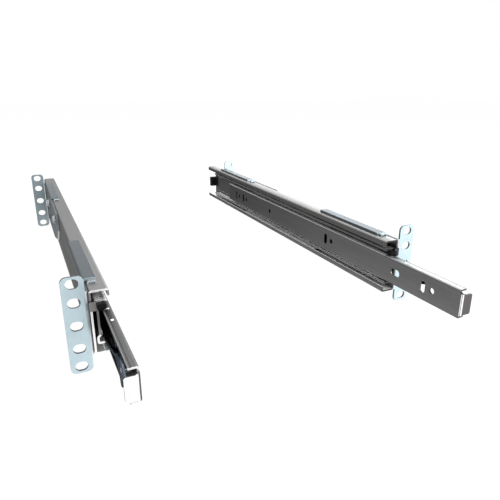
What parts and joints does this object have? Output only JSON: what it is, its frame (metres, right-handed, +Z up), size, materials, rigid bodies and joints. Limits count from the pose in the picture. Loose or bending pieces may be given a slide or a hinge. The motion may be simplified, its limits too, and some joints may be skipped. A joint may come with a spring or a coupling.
{
  "type": "server rack slide rail pair",
  "caption": "Pair of ball-bearing telescopic slide rails with rack flanges, bent brackets and a release lever, that carry a server in a rack.",
  "frame": {"origin": "midway between the two rails, on the plane of the front flanges' mounting faces, at the middle hole's height", "axes": "+X across the rack to the right as seen from the front, +Y rearward along the rails, +Z up"},
  "size_m": [0.2772, 0.4876, 0.0666],
  "materials": {
    "outer_steel": "dark grey rolled steel",
    "intermediate_steel": "grey rolled steel",
    "inner_steel": "dark grey rolled steel",
    "bracket_zinc": "pale blue zinc plate",
    "rivet_steel": "satin zinc",
    "screw_steel": "bright zinc",
    "cage_steel": "satin zinc strip",
    "ball_steel": "polished",
    "spring_steel": "spring steel",
    "black_plastic": "matte moulded"
  },
  "bodies": {
    "rack_side": {"left_outer_member": "outer_steel", "left_front_bracket": "bracket_zinc", "left_rear_bracket": "bracket_zinc", "left_front_bracket_rivets": "rivet_steel", "left_rear_bracket_screws": "screw_steel", "left_rear_bracket_washers": "screw_steel", "left_rear_bumper": "black_plastic", "left_bumper_rivet": "rivet_steel", "right_outer_member": "outer_steel", "right_front_bracket": "bracket_zinc", "right_rear_bracket": "bracket_zinc", "right_front_bracket_rivets": "rivet_steel", "right_rear_bracket_screws": "screw_steel", "right_rear_bracket_washers": "screw_steel", "right_rear_bumper": "black_plastic", "right_bumper_rivet": "rivet_steel"},
    "left_intermediate": {"left_intermediate_member": "intermediate_steel", "left_upper_guide": "black_plastic", "left_lower_guide": "black_plastic"},
    "left_outer_cage": {"left_outer_ball_cage": "cage_steel", "left_outer_balls": "ball_steel"},
    "left_inner": {"left_inner_member": "inner_steel", "left_lever_pivot": "rivet_steel", "left_lever_spring": "spring_steel"},
    "left_inner_cage": {"left_inner_ball_cage": "cage_steel", "left_inner_balls": "ball_steel"},
    "left_lever": {"left_release_lever": "bracket_zinc"},
    "right_intermediate": {"right_intermediate_member": "intermediate_steel", "right_upper_guide": "black_plastic", "right_lower_guide": "black_plastic"},
    "right_outer_cage": {"right_outer_ball_cage": "cage_steel", "right_outer_balls": "ball_steel"},
    "right_inner": {"right_inner_member": "inner_steel", "right_lever_pivot": "rivet_steel", "right_lever_spring": "spring_steel"},
    "right_inner_cage": {"right_inner_ball_cage": "cage_steel", "right_inner_balls": "ball_steel"},
    "right_lever": {"right_release_lever": "bracket_zinc"}
  },
  "joints": [
    {"name": "left_intermediate_slide", "type": "slide", "parent": "rack_side", "child": "left_intermediate", "axis": [0, -1, 0], "range_m": [0, 0.2]},
    {"name": "left_inner_slide", "type": "slide", "parent": "left_intermediate", "child": "left_inner", "axis": [0, -1, 0], "range_m": [-0.0745, 0.1315]},
    {"name": "left_outer_cage_slide", "type": "slide", "parent": "rack_side", "child": "left_outer_cage", "axis": [0, -1, 0], "range_m": [0, 0.1]},
    {"name": "left_inner_cage_slide", "type": "slide", "parent": "left_intermediate", "child": "left_inner_cage", "axis": [0, -1, 0], "range_m": [-0.03725, 0.06575]},
    {"name": "left_lever_hinge", "type": "hinge", "parent": "left_inner", "child": "left_lever", "pos_m": [-0.11683, -0.066, 0.003], "axis": [1, 0, 0], "range_deg": [0, 2.5], "stiffness_Nm_per_rad": 0.8},
    {"name": "right_intermediate_slide", "type": "slide", "parent": "rack_side", "child": "right_intermediate", "axis": [0, -1, 0], "range_m": [0, 0.2]},
    {"name": "right_inner_slide", "type": "slide", "parent": "right_intermediate", "child": "right_inner", "axis": [0, -1, 0], "range_m": [-0.0745, 0.1315]},
    {"name": "right_outer_cage_slide", "type": "slide", "parent": "rack_side", "child": "right_outer_cage", "axis": [0, -1, 0], "range_m": [0, 0.1]},
    {"name": "right_inner_cage_slide", "type": "slide", "parent": "right_intermediate", "child": "right_inner_cage", "axis": [0, -1, 0], "range_m": [-0.03725, 0.06575]},
    {"name": "right_lever_hinge", "type": "hinge", "parent": "right_inner", "child": "right_lever", "pos_m": [0.11683, -0.066, 0.003], "axis": [1, 0, 0], "range_deg": [0, 2.5], "stiffness_Nm_per_rad": 0.8}
  ],
  "couplings": [
    {"joint": "left_outer_cage_slide", "follows": "left_intermediate_slide", "ratio": 0.5},
    {"joint": "left_inner_cage_slide", "follows": "left_inner_slide", "ratio": 0.5},
    {"joint": "right_outer_cage_slide", "follows": "right_intermediate_slide", "ratio": 0.5},
    {"joint": "right_inner_cage_slide", "follows": "right_inner_slide", "ratio": 0.5}
  ]
}
